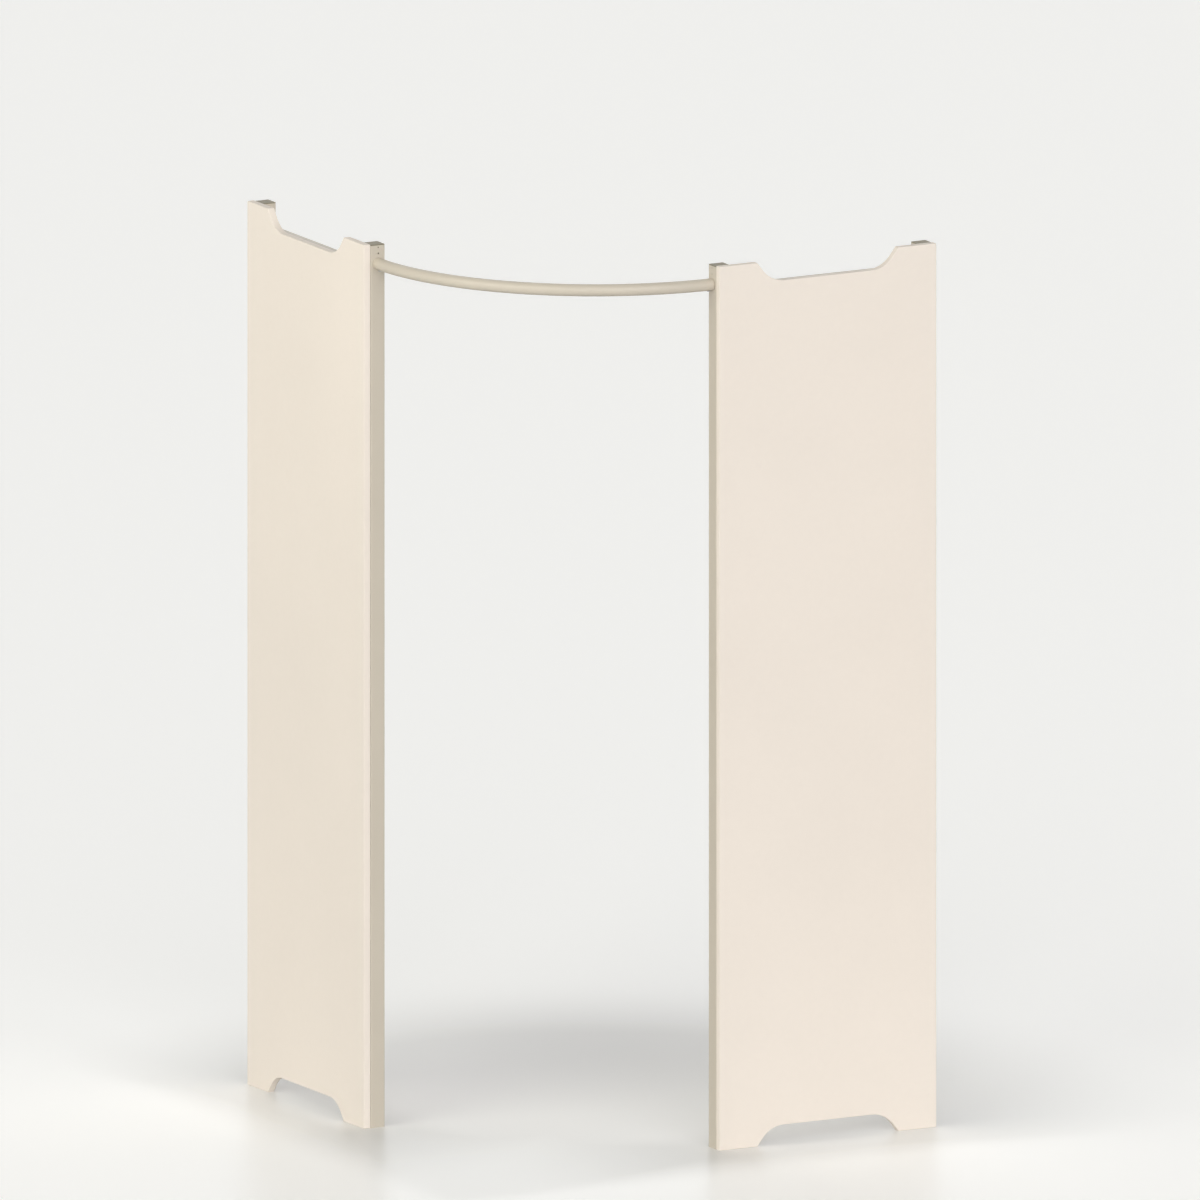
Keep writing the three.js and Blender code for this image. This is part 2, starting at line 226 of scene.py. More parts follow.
class HardwareSizes(PropertyGroup):
    seam: Length("Seam", "Gap between two pieces that rest on or in each other", 0.0003)
    edge: Length("Edge", "Rounding of the hardware's turned edges", 0.0003)
    cap_crown: Length("Cap crown", "Rise of a cap from its edge to its middle", 0.00025)
    cap_edge: Length("Cap edge", "Rounding of a cap's top edge", 0.0009)
    cap_plate: Length("Cap plate", "Thickness of a cap above the tube", 0.002)
    skirt_wall: Length("Skirt wall", "Wall of the skirt inside the tube", 0.0025)
    pad_height: Length("Pad height", "Thickness of a levelling foot's pad", 0.006)
    pad_room: Length("Pad room", "Room round a pad in its recess", 0.0008)
    pad_edge: Length("Pad edge", "Rounding of a pad's rim", 0.0009)
    pad_border: Length("Pad border", "Plain border round the rings under a pad", 0.0027)
    scallop_depth: Length("Scallop depth", "Depth of the finger grips on a pad", 0.0007)
    scallops: Count("Scallops", "Finger grips round a pad", 16)
    groove_depth: Length("Groove depth", "Depth of the rings under a pad", 0.0005)
    groove_pitch: Length("Groove pitch", "Distance between the rings", 0.003)
    stem_radius: Length("Stem radius", "Outer radius of a foot's thread", 0.005)
    stem_pitch: Length("Stem pitch", "Pitch of a foot's thread", 0.0015)
    stem_neck: Length("Stem neck", "Plain length between a foot's pad and thread", 0.0015)
    screw_pitch: Length("Screw pitch", "Pitch of a board screw's thread", 0.0018)
    screw_core: Length("Screw core", "Radius of a board screw inside its thread", 0.00135)
    screw_point: Length("Screw point", "Length of a board screw's point", 0.006)
    screw_recess: Length("Screw recess", "From a cross's middle to an arm's end", 0.0023)
    bolt_pitch: Length("Bolt pitch", "Pitch of the rail bolt's thread", 0.00125)
    bolt_head: Length("Bolt head", "Height of the rail bolt's head", 0.0045)
    bolt_key: Length("Bolt key", "Size across the hexagon in the rail bolt", 0.005)
    lock_pitch: Length("Lock pitch", "Pitch of the lock screw's thread", 0.0008)
    lock_radius: Length("Lock radius", "Outer radius of the lock screw's thread", 0.0025)
    lock_head: Length("Lock head", "Height of the lock screw's head", 0.002)
    lock_key: Length("Lock key", "Size across the hexagon in the lock screw", 0.003)


class Finishes(PropertyGroup):
    cream: Colour("Cream", "Paint on the boards", (0.895, 0.815, 0.735))
    taupe: Colour("Taupe", "Powder coat on the tubes", (0.605, 0.548, 0.462))
    olive: Colour("Olive", "Plastic of the post caps", (0.255, 0.226, 0.158))
    black: Colour("Black", "Plastic of the foot sockets", (0.030, 0.030, 0.028))
    zinc: Colour("Zinc", "Bright plate on the screws and feet", (0.560, 0.570, 0.580))


class StageSizes(PropertyGroup):
    azimuth: Angle("Azimuth", "The camera's way round, from -Y towards -X", math.radians(28.28))
    elevation: Angle("Elevation", "The camera's height over the horizon", math.radians(11.84))
    frame_width: Length("Frame width", "What the parallel camera takes in", 2.9237)
    aim: Spot("Aim", "The point at the middle of the picture", (0.0174, -0.0093, 1.2589))
    distance: Length("Distance", "From the aim to the camera", 8.0)
    floor_half: Length("Floor half", "Half the side of the floor", 60.0)
    floor_glow: Number("Floor glow", "The most that the floor adds to its colour", 0.29)
    backdrop: Colour("Backdrop", "Colour behind the floor", (0.870, 0.870, 0.860))
    floor: Colour("Floor", "Colour of the floor", (0.840, 0.840, 0.830))
    box_place: Spot("Box place", "Where the soft box hangs", (-2.4, -0.4, 3.0))
    box_target: Spot("Box target", "The point that the soft box faces", (-0.62, 0.1, 1.9))
    box_side: Length("Box side", "Side of the soft box", 1.2)
    box_power: Power("Box power", "Power of the soft box", 7.0)
    box_tint: Colour("Box tint", "Colour of the soft box", (1.0, 0.97, 0.80))


def settings(group):
    return getattr(bpy.context.scene, f"fitting_room_{group}")


# Surfaces as grids: points and the quads between them

def arc_shares(steps):
    """Angles from nothing to a quarter turn, in equal steps."""
    return np.linspace(0, QUARTER_TURN, steps + 1)


def there_and_back(values, far=None):
    """Values and then the same in reverse, which may be counted back from a far one."""
    back = values[::-1] if far is None else far - values[::-1]
    return np.concatenate([values, back])


def filleted(corners, radii, steps=CORNER_STEPS, closed=True):
    """A path with rounded corners, as points and the normals on its right-hand side.

    The plane's points are complex numbers here. At a corner the path turns by t. The arc of radius
    r starts r tan(t/2) before the corner, about a centre r to the inner side, and a share f of the
    way round it the normal has turned by t f. One more point lies on each straight a short way from
    the arc, so that the straight stays flat.
    """
    corners = np.asarray(corners) @ (1, 1j)
    before, after = np.roll(corners, 1), np.roll(corners, -1)
    within = slice(None) if closed else slice(1, -1)
    before, inner, after = before[within], corners[within], after[within]
    into, out = (inner - before) / abs(inner - before), (after - inner) / abs(after - inner)
    turn = np.angle(out / into)
    radii = radii * np.ones(len(turn))
    signed = np.sign(turn) * radii
    right = -1j * into
    centre = inner - radii * np.tan(abs(turn) / 2) * into - signed * right
    normals = right[:, None] * np.exp(1j * turn[:, None] * np.linspace(0, 1, steps + 1))
    arcs = centre[:, None] + signed[:, None] * normals
    support = np.minimum(SUPPORT, radii / 2)
    first, last = arcs[:, 0] - support * into, arcs[:, -1] + support * out
    points = np.column_stack([first, arcs, last]).ravel()
    normals = np.column_stack([normals[:, 0], normals, normals[:, -1]]).ravel()
    if not closed:
        points = np.concatenate([corners[:1], points, corners[-1:]])
        normals = np.concatenate([normals[:1], normals, normals[-1:]])
    return np.stack([points.real, points.imag], -1), np.stack([normals.real, normals.imag], -1)


def ring_quads(rings, sides, closed=False):
    """Quads of a grid whose rings each close on themselves, and whose last ring may meet the first.

    Where the points run anticlockwise and the rings climb, the quads face outwards.
    """
    ring = np.arange(rings if closed else rings - 1)[:, None]
    side = np.arange(sides)
    here, above = ring * sides, (ring + 1) % rings * sides
    beside = (side + 1) % sides
    return np.stack([here + side, here + beside, above + beside, above + side], -1)


def wrapped(points, closed=False):
    """A grid from rings of points."""
    return points.reshape(-1, 3), ring_quads(*points.shape[:2], closed).reshape(-1, 4)


def raised(flat, heights):
    """Rings of flat points, each at its own height."""
    level = np.broadcast_to(heights[:, None, None], (*flat.shape[:2], 1))
    return np.concatenate([flat, level], -1)


def side_angles(sides):
    """The angle of each of a ring's points."""
    return np.arange(sides) * FULL_TURN / sides


def turned(stretches, sides=ROUND_SIDES):
    """A turned surface, from stretches put end to end, each as the radii and heights of its rings.

    At angle a, a ring lies at (r cos a, r sin a, h), where r and h may vary with a.
    """
    rings = []
    for stretch in stretches:
        pair = [np.asarray(values, float) for values in stretch]
        pair = [values[:, None] if values.ndim == 1 else values for values in pair]
        radii, heights, _ = np.broadcast_arrays(*pair, np.zeros(sides))
        rings.append(np.stack([radii, heights]))
    radii, heights = np.concatenate(rings, 1)
    angle = side_angles(sides)
    return wrapped(np.stack([radii * np.cos(angle), radii * np.sin(angle), heights], -1))


def node_box(node):
    """A node's lowest and highest corners."""
    return np.array([list(corner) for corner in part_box(node)])


class PanelFrame:
    """A panel's own frame, read from its board: X back from the front edge, Y in from the face."""

    def __init__(self, side):
        self.side = side
        self.order = [1, 0, 2] if side == "left" else [0, 1, 2]
        self.corner, high = node_box(f"{side}_board")[:, self.order]
        self.width, self.thick, self.height = high - self.corner

    def box(self, part):
        """A node's lowest and highest corners in the panel's frame."""
        return node_box(f"{self.side}_{part}")[:, self.order] - self.corner

    def placed(self, points):
        """Points of the panel's frame in the room's."""
        return (points + self.corner)[..., self.order]

    def laid(self, part, axis, turn=0.0):
        """How a screw lies in its node's box: its length, its half-width and what lays it there.

        The screw runs up Z. It is turned by an angle about itself, and its Z is then laid along the
        axis, from the middle of the box's near side.
        """
        low, high = self.box(part)
        axis = np.array(axis)
        start = np.where(axis > 0, low, np.where(axis < 0, high, (low + high) / 2))
        run = np.abs(axis).argmax()
        ahead, origin = axis[self.order], self.placed(start)
        across = np.roll(np.abs(ahead), 1)
        across = math.cos(turn) * across + math.sin(turn) * np.cross(ahead, across)
        basis = np.stack([across, np.cross(ahead, across), ahead])
        size = high - low
        return size[run], size[run - 1] / 2, lambda points: points @ basis + origin


# Pieces

def in_scene(name, data, back=None):
    """An object of the scene, which may be turned to look away from the direction back."""
    made = bpy.data.objects.new(name, data)
    if back is not None:
        made.rotation_mode = "QUATERNION"
        made.rotation_quaternion = back.to_track_quat("Z", "Y")
    bpy.context.scene.collection.objects.link(made)
    return made


def add_piece(name, node, slot, grids, place=np.asarray, rims=None):
    """One smooth piece on a node's body, from grids and what takes their points to their place.

    Its seams and poles are closed. Six times the volume inside its quads is above zero where they
    face outwards, and where it is below, they are turned round.
    """
    starts = np.cumsum([0] + [len(points) for points, _ in grids[:-1]])
    points = place(np.concatenate([points for points, _ in grids]))
    quads = np.concatenate([quads + start for (_, quads), start in zip(grids, starts)])
    a, b, c, d = points[quads.T]
    if (np.cross(a, b) * c).sum() + (np.cross(a, c) * d).sum() < 0:
        quads = quads[:, ::-1]
    mesh = bpy.data.meshes.new(name)
    mesh.from_pydata(points.tolist(), [], quads.tolist())
    if rims is not None:
        mesh.attributes.new("rim", "FLOAT", "POINT").data.foreach_set("value", np.float32(rims))
    work = bmesh.new()
    work.from_mesh(mesh)
    bmesh.ops.remove_doubles(work, verts=work.verts, dist=MERGE_DISTANCE)
    work.to_mesh(mesh)
    work.free()
    mesh.shade_smooth()
    mesh.set_sharp_from_angle(angle=SHARP_ANGLE)
    mesh.materials.append(finish(slot))
    piece = in_scene(name, mesh)
    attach(piece, frame["nodes"][node]["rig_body"])
    return piece


def stand_in(node, slot, grids, place=np.asarray, rims=None):
    """A piece that takes a node's place."""
    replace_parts(add_piece(f"{node}_finished", node, slot, grids, place, rims), node)


# Materials

class Recipe:
    """A material or world in the making: nodes are added by kind and linked to what they read."""

    def __init__(self, data, surface="Principled BSDF", output="Material Output", place="Object"):
        data.use_nodes = True
        self.tree = data.node_tree
        self.surface, self.output = self.tree.nodes[surface], self.tree.nodes[output]
        self.place = self.add("TexCoord")[place]

    def feed(self, node, socket, value):
        if isinstance(value, bpy.types.NodeSocket):
            self.tree.links.new(value, node.inputs[socket])
        else:
            node.inputs[socket].default_value = value

    def add(self, kind, values=None, **choices):
        """A new node's outputs."""
        node = self.tree.nodes.new(f"ShaderNode{kind}")
        for key, choice in choices.items():
            setattr(node, key, choice)
        for socket, value in (values or {}).items():
            self.feed(node, socket, value)
        return node.outputs

    def finish(self, **values):
        for socket, value in values.items():
            self.feed(self.surface, socket.replace("_", " "), value)

    def math(self, operation, first, second):
        return self.add("Math", {0: first, 1: second}, operation=operation)["Value"]

    def largest(self, values):
        return reduce(partial(self.math, "MAXIMUM"), values)

    def scaled(self, tint, factor):
        """A colour times a factor near one."""
        values = {0: tuple(tint), "Scale": factor}
        return self.add("VectorMath", values, operation="SCALE")["Vector"]

    def spread(self, value, low, high, start, end, **choices):
        """A value that runs from start to end, mapped so that it runs from low to high."""
        values = {"Value": value, "From Min": start, "From Max": end, "To Min": low, "To Max": high}
        return self.add("MapRange", values, **choices)["Result"]

    def noise(self, waves, detail=2, roughness=0.5, stretch=None):
        """A noise of this many waves a metre, which may be stretched along an axis."""
        place = self.place
        if stretch is not None:
            place = self.add("Mapping", {"Vector": place, "Scale": stretch})["Vector"]
        values = {"Vector": place, "Scale": waves, "Detail": detail, "Roughness": roughness}
        return self.add("TexNoise", values)["Fac"]

    def varied(self, low, high, **noise):
        """A value that follows the middle of a noise, from low to high."""
        return self.spread(self.noise(**noise), low, high, *NOISE_SPAN)

    def bump(self, height, depth, under=None):
        """The surface under it raised by a height times a depth in metres."""
        values = {"Height": height, "Distance": depth}
        if under is not None:
            values["Normal"] = under
        return self.add("Bump", values)["Normal"]

    def seen(self):
        """One for a ray from the camera, a mirror or a glass, and nothing for the light itself."""
        path = self.add("LightPath")
        return self.largest(path[f"Is {kind} Ray"] for kind in ("Camera", "Glossy", "Transmission"))


def cream_paint(recipe):
    """Sprayed satin paint: a slow drift of shade, orange peel, and raised fibres on cut edges."""
    rim = recipe.add("Attribute", attribute_name="rim")["Fac"]
    drift = recipe.varied(0.985, 1.012, waves=2.2, detail=3)
    mottle = recipe.varied(0.994, 1.006, waves=70, detail=4, roughness=0.6)
    darker = recipe.math("MULTIPLY", rim, RIM_DARKER)
    shade = recipe.math("SUBTRACT", recipe.math("MULTIPLY", drift, mottle), darker)
    gloss = recipe.varied(0.44, 0.54, waves=14, detail=3)
    rougher = recipe.math("MULTIPLY", rim, RIM_ROUGHER)
    waves = recipe.bump(recipe.noise(waves=38), depth=0.00012)
    peel = recipe.noise(waves=290, detail=3, roughness=0.55)
    peel = recipe.bump(peel, depth=0.00005, under=waves)
    fibres = recipe.math("MULTIPLY", recipe.noise(waves=1100, detail=5, roughness=0.7), rim)
    recipe.finish(
        Base_Color=recipe.scaled(settings("finishes").cream, shade),
        Roughness=recipe.math("ADD", gloss, rougher),
        Normal=recipe.bump(fibres, depth=0.00006, under=peel),
        Specular_IOR_Level=0.4,
    )


def taupe_paint(recipe):
    """Powder coat: fine orange peel over slower waves, with a faint speckle."""
    speckle = recipe.varied(0.975, 1.02, waves=1500)
    drift = recipe.varied(0.985, 1.015, waves=6, detail=3)
    shade = recipe.math("MULTIPLY", speckle, drift)
    waves = recipe.bump(recipe.noise(waves=120), depth=0.00008)
    recipe.finish(
        Base_Color=recipe.scaled(settings("finishes").taupe, shade),
        Roughness=recipe.varied(0.34, 0.44, waves=60, detail=3),
        Normal=recipe.bump(recipe.noise(waves=620, detail=3), depth=0.00006, under=waves),
        Specular_IOR_Level=0.5,
    )


def moulded(recipe, tint, grain_depth):
    """Moulded plastic with the fine grain that a spark-eroded mould leaves."""
    mottle = recipe.varied(0.90, 1.08, waves=900, detail=4, roughness=0.6)
    flow = recipe.varied(0.96, 1.04, waves=45, stretch=(1.0, 0.3, 1.0))
    grain = recipe.noise(waves=1900, detail=3, roughness=0.6)
    recipe.finish(
        Base_Color=recipe.scaled(tint, recipe.math("MULTIPLY", mottle, flow)),
        Roughness=recipe.varied(0.46, 0.62, waves=300, detail=3),
        Normal=recipe.bump(grain, grain_depth),
    )


def taupe_plastic(recipe):
    moulded(recipe, settings("finishes").olive, grain_depth=0.00006)


def black_plastic(recipe):
    moulded(recipe, settings("finishes").black, grain_depth=0.00008)


def zinc_steel(recipe):
    """Bright zinc plate on turned steel: cloudy patches, fine turning lines and small spangles."""
    cloud = recipe.varied(0.86, 1.08, waves=170, detail=3)
    cells = recipe.add("TexVoronoi", {"Vector": recipe.place, "Scale": 900})["Color"]
    spangle = recipe.spread(cells, 0.95, 1.04, start=0, end=1)
    shade = recipe.math("MULTIPLY", cloud, spangle)
    lines = recipe.noise(waves=400, detail=3, roughness=0.6, stretch=(1.0, 1.0, 9.0))
    recipe.finish(
        Base_Color=recipe.scaled(settings("finishes").zinc, shade),
        Roughness=recipe.varied(0.24, 0.42, waves=260, detail=4, roughness=0.6),
        Normal=recipe.bump(lines, depth=0.00002),
        Metallic=1.0,
    )


FINISHES = {
    make.__name__: make
    for make in (cream_paint, taupe_paint, taupe_plastic, black_plastic, zinc_steel)
}


def finish(slot):
    """The material for one of the part's finishes, made the first time that it is asked for."""
    name = f"{slot}_finish"
    material = bpy.data.materials.get(name)
    if material is None:
        material = bpy.data.materials.new(name)
        FINISHES[slot](Recipe(material))
    return material


# Boards

def half_outline(width, depth, sizes):
    """Six corners of one long edge of a board, the two inner ones a depth in from the outer four.

    A slope's line meets the flat's line depth / tan(slope angle) in from the ear or foot.
    """
    ear = sizes.ear_width
    flat = ear + depth / math.tan(sizes.slope)
    across = (0, ear, flat, width - flat, width - ear, width)
    return np.stack([across, (0, 0, depth, depth, 0, 0)], -1)


def board_grids(panel):
    """A board: two flat faces and a rounded rim, as grids, and how much each point is on the rim.

    The outline runs anticlockwise as seen from the room, its first half along the lower edge. The
    rim carries it inwards by e (1 - sin f) while the depth grows as e (1 - cos f), for f up to a
    quarter turn, and the same again at the back. A face joins each point of the lower edge to its
    partner on the upper edge by a straight line.
    """
    sizes = settings("board")
    corners = np.concatenate([
        half_outline(panel.width, sizes.arch_height, sizes),
        (0, panel.height) + half_outline(panel.width, sizes.scoop_depth, sizes)[::-1] * (1, -1),
    ])
    sharp, slow = sizes.corner_radius, sizes.slope_radius
    radii = 2 * [sharp, sharp, slow, slow, sharp, sharp]
    outline, normals = filleted(corners, radii, OUTLINE_STEPS)
    half = len(outline) // 2
    lower, upper = outline[1:half - 1], outline[half + 1:-1]
    turn, edge = arc_shares(CORNER_STEPS), sizes.edge_radius
    inset = there_and_back(np.concatenate([[edge + SUPPORT], edge * (1 - np.sin(turn))]))
    depth = there_and_back(np.concatenate([[0], edge * (1 - np.cos(turn))]), panel.thick)

    near = SUPPORT / panel.height
    share = np.concatenate([[0, near], np.linspace(0, 1, BOARD_ROWS + 1)[1:-1], [1 - near, 1]])
    inner_share = share[1:-1, None]
    right = lower[-1] + inner_share * (upper[0] - lower[-1])
    left = upper[-1] + inner_share * (lower[0] - upper[-1])
    rim_points = np.concatenate([lower, right, upper, left])
    rim_normals = np.concatenate(
        [normals[1:half - 1], 0 * right + (1, 0), normals[half + 1:-1], 0 * left - (1, 0)]
    )
    rim = raised(rim_points - inset[:, None, None] * rim_normals, depth)[..., [0, 2, 1]]

    start = len(lower) + len(right)
    low_edge, high_edge = rim[0, :len(lower)], rim[0, start:start + len(upper)][::-1]
    share = share[:, None, None]
    face = (1 - share) * low_edge + share * high_edge
    quads = ring_quads(*face.shape[:2])[:, :-1].reshape(-1, 4)
    face = face.reshape(-1, 3)
    back = face + (0, panel.thick, 0)
    on_rim = np.ones(rim.shape[:2])
    on_rim[[0, 1, -2, -1]] = 0
    rim, rim_quads = wrapped(rim)
    grids = [(rim, rim_quads[:, ::-1]), (face, quads), (back, quads[:, ::-1])]
    return grids, np.concatenate([on_rim.ravel(), np.zeros(2 * len(face))])


class FITTINGROOM_OT_boards(Operator):
    """Builds the two painted boards"""

    bl_idname = "fitting_room.boards"
    bl_label = "Boards"

    def execute(self, context):
        for side in SIDES:
            panel = PanelFrame(side)
            grids, rims = board_grids(panel)
            stand_in(f"{side}_board", "cream_paint", grids, panel.placed, rims)
        return {"FINISHED"}


# Tubes

Hole = namedtuple("Hole", "face at radius patch")


def tube_section(reach, run, corner, across):
    """The outline of a tube with round corners, as points, outward normals and each face's start.

    A face's points lie at the places in across, and each corner is a quarter circle after its face.
    """
    turn = arc_shares(CORNER_STEPS)[1:-1, None]
    points, normals, starts = [], [], []
    for out, way, far, end, places in zip(FACING, ALONG, reach, run, across):
        starts.append(sum(map(len, points)))
        bend = np.cos(turn) * out + np.sin(turn) * way
        points.append(out * far + way * places[:, None])
        points.append(out * (far - corner) + way * end + corner * bend)
        normals += [np.broadcast_to(out, (len(places), 2)), bend]
    return np.concatenate(points), np.concatenate(normals), starts


def with_bands(low, high, bands, count):
    """Places from low to high: a few evenly spread ones, and closer ones across each band."""
    places = [low, low + SUPPORT, high - SUPPORT, high]
    spread = np.linspace(low, high, count + 1)[1:-1]
    for middle, patch in bands:
        places.extend(np.linspace(middle - patch, middle + patch, SIDE_STEPS + 1))
        spread = spread[np.abs(spread - middle) >= patch + SUPPORT]
    return np.unique(np.concatenate([places, spread]).round(7))


def tube_skin(run, wall, rounding, bend=1):
    """The way along a tube's outside, over its rounded end, back inside and over the other end.

    It is given as depths into the wall and places along the run, which are angles where the tube
    has a bend of this radius. The two quarter circles over an end are (e (1 - cos f), e sin f) and
    (wall - e (1 - sin f), e cos f).
    """
    turn = arc_shares(EDGE_STEPS)[1:]
    sine, cosine = np.sin(turn), np.cos(turn)
    over = np.concatenate([rounding * (1 - cosine), wall - rounding * (1 - sine)])[:-1]
    past = rounding * np.concatenate([sine, cosine])[:-1] / bend
    depth = np.concatenate([0 * run, over, 0 * run + wall, over[::-1]])
    return depth, np.concatenate([run, run[-1] + past, run[::-1], run[0] - past[::-1]])


def hole_grid(hole, middle, columns, rows, wall, rounding, reach):
    """A hole through a wall: flat rings from its patch's edge to a circle, a bore, and back out.

    The patch's edge runs anticlockwise from its low corner, and each of its four sides takes a
    quarter of the circle, from an eighth of a turn before it. A ring is a share of the edge and the
    rest of a circle, whose radius is r + e (1 - sin f) and whose depth is e (1 - cos f) where the
    hole's edge is rounded.
    """
    edge = np.stack(np.meshgrid(columns, rows), -1)
    edge = np.concatenate([edge[0, :-1], edge[:-1, -1], edge[-1, :0:-1], edge[:0:-1, 0]])
    counts = 2 * [len(columns) - 1, len(rows) - 1]
    quarters = [side + np.arange(count) / count for side, count in enumerate(counts)]
    angle = (np.concatenate(quarters) - 1.5) * QUARTER_TURN
    circle = np.stack([np.cos(angle), np.sin(angle)], -1)
    turn = arc_shares(EDGE_STEPS)[1:]
    flat_rings = hole.radius + rounding + SUPPORT * PATCH_SUPPORTS
    radii = np.concatenate([flat_rings, hole.radius + rounding * (1 - np.sin(turn))])
    depth = np.concatenate([0 * flat_rings, rounding * (1 - np.cos(turn))])
    share = there_and_back(np.concatenate([PATCH_BLEND, 0 * turn]))[:, None, None]
    level = (reach - there_and_back(depth, wall))[:, None, None]
    round_rings = middle + there_and_back(radii)[:, None, None] * circle
    flat = share * edge + (1 - share) * round_rings
    section = FACING[hole.face] * level + ALONG[hole.face] * flat[..., :1]
    return wrapped(np.concatenate([section, flat[..., 1:]], -1))


def tube_grids(half, corner, wall, low, high, holes):
    """A tube along Z with round corners, a wall and holes, as grids.

    At depth d into the wall, a point is the section's point less d times its normal. Cells in a
    hole's patch are left out of the outside and the inside, and hole_grid fills them.
    """
    rounding = settings("tube").end_round
    reach = np.abs(FACING * half).sum(1)
    run = np.abs(ALONG * half).sum(1) - corner
    middles = [np.array([ALONG[hole.face] @ hole.at[:2], hole.at[2]]) for hole in holes]
    across = []
    for face, end in enumerate(run):
        own = [(at[0], hole.patch) for hole, at in zip(holes, middles) if hole.face == face]
        across.append(with_bands(-end, end, own, FACE_COLUMNS))
    bands = [(at[1], hole.patch) for hole, at in zip(holes, middles)]
    levels = with_bands(low + rounding, high - rounding, bands, TUBE_ROWS)
    section, normals, starts = tube_section(reach, run, corner, across)
    depth, height = tube_skin(levels, wall, rounding)
    points = raised(section - depth[:, None, None] * normals, height)
    quads = ring_quads(len(depth), len(section), closed=True)
    kept = np.ones(quads.shape[:2], bool)
    last_inside = np.flatnonzero(height == levels[0])[-1] - 1
    grids = []
    for hole, middle in zip(holes, middles):
        near = hole.patch + MERGE_DISTANCE
        places, far = across[hole.face], reach[hole.face]
        columns = np.flatnonzero(np.abs(places - middle[0]) < near)
        rows = np.flatnonzero(np.abs(levels - middle[1]) < near)
        cells = starts[hole.face] + columns[:-1]
        kept[np.ix_(rows[:-1], cells)] = False
        kept[np.ix_(last_inside - rows[:-1], cells)] = False
        grids.append(hole_grid(hole, middle, places[columns], levels[rows], wall, rounding, far))
    return [(points.reshape(-1, 3), quads[kept])] + grids


def add_tube(panel, part, axes, corner, wall, holes):
    """A tube in a node's place, whose own X, Y and Z are these axes of the panel.

    The holes are given in the tube's own directions, from its middle and the panel's zero along it.
    """
    low, high = panel.box(part)[:, axes]
    middle = (low + high) / 2 * (1, 1, 0)
    grids = tube_grids((high - low)[:2] / 2, corner, wall, low[2], high[2], holes)

    def place(points):
        return panel.placed((points + middle)[:, np.argsort(axes)])

    stand_in(f"{panel.side}_{part}", "taupe_paint", grids, place)


def post_holes(panel, sizes):
    """The front post's holes: two small ones, the bolt's and the key's."""
    _, across, height = panel.box("rail_bolt").mean(0) - panel.box("front_post").mean(0) * (1, 1, 0)
    top = panel.box("front_cap")[1][2] - sizes.small_hole_drop
    holes = []
    for index in range(SMALL_HOLES):
        at = (0, across, top - index * sizes.small_hole_pitch)
        holes.append(Hole(NEAR_FACE, at, sizes.small_hole, SMALL_PATCH_SHARE * sizes.small_hole))
    for face, radius in ((NEAR_FACE, sizes.bolt_hole), (FAR_FACE, sizes.key_hole)):
        holes.append(Hole(face, (0, across, height), radius, PATCH_SHARE * radius))
    return holes


class FITTINGROOM_OT_posts(Operator):
    """Builds the four square-tube posts"""

    bl_idname = "fitting_room.posts"
    bl_label = "Posts"

    def execute(self, context):
        sizes = settings("tube")
        for side, end in product(SIDES, ENDS):
            panel = PanelFrame(side)
            holes = post_holes(panel, sizes) if end == "front" else []
            add_tube(panel, f"{end}_post", [0, 1, 2], sizes.post_corner, sizes.post_wall, holes)
        return {"FINISHED"}


class FITTINGROOM_OT_bars(Operator):
    """Builds the six flat-tube bars between the posts"""

    bl_idname = "fitting_room.bars"
    bl_label = "Bars"

    def execute(self, context):
        sizes = settings("tube")
        radius = sizes.screw_hole
        for side, place in product(SIDES, BARS):
            panel = PanelFrame(side)
            screws = [panel.box(f"{place}_board_screw_{number}").mean(0)[0] for number in SCREWS]
            holes = [
                Hole(face, (0, 0, along), radius, PATCH_SHARE * radius)
                for along, face in product(screws, (FAR_FACE, NEAR_FACE))
            ]
            add_tube(panel, f"{place}_bar", [1, 2, 0], sizes.bar_corner, sizes.bar_wall, holes)
        return {"FINISHED"}


# Welds

def bead_grid(path, normals, run, start, end):
    """A weld bead along part of a path on a bar, in X off the post and the bar's own Y and Z.

    Across the bead a point lies at (s cos(f)^n, s sin(f)^n), which bulges out between the post and
    the bar. The size s is the leg times one plus the cosine of the distance over the ripple, where
    each ripple is bowed by the square of its place across the bead, and plus two slower waves. It
    falls to nothing at both ends as a circle does.
    """
    sizes = settings("tube")
    stations = int((end - start) / sizes.weld_ripple * STATIONS_PER_RIPPLE)
    along = np.linspace(start, end, stations)
    base_x, base_y, out_x, out_y = (np.interp(along, run, row) for row in (*path.T, *normals.T))
    base, out = np.stack([base_x, base_y], -1), np.stack([out_x, out_y], -1)
    out /= np.linalg.norm(out, axis=-1, keepdims=True)
    share = np.linspace(0, 1, BEAD_STEPS + 1)
    ripples = along[:, None] / sizes.weld_ripple
    swell = RIPPLE_SWELL * np.cos(FULL_TURN * (ripples - RIPPLE_BOW * (2 * share - 1) ** 2))
    for wander in WANDER_SHARES:
        swell = swell + WANDER_SWELL / 2 * np.cos(FULL_TURN * wander * ripples)
    from_end = np.clip(np.minimum(along - start, end - along) / sizes.weld_leg, 0, 1)[:, None]
    size = sizes.weld_leg * np.sqrt(1 - (1 - from_end) ** 2) * (1 + swell)
    angle = share * QUARTER_TURN
    off_post = size * np.cos(angle) ** BEAD_POWER
    off_bar = size * np.sin(angle) ** BEAD_POWER
    behind = np.full((stations, 1), -sizes.weld_sink)
    off_post = np.concatenate([off_post, behind, behind, off_post[:, :1]], 1)
    off_bar = np.concatenate([off_bar, off_bar[:, -1:], behind, behind], 1)
    for off in (off_post, off_bar):
        off[[0, -1]] = off[[0, -1]].mean()
    across = base[:, None] + off_bar[..., None] * out[:, None]
    return wrapped(np.concatenate([off_post[..., None], across], -1))


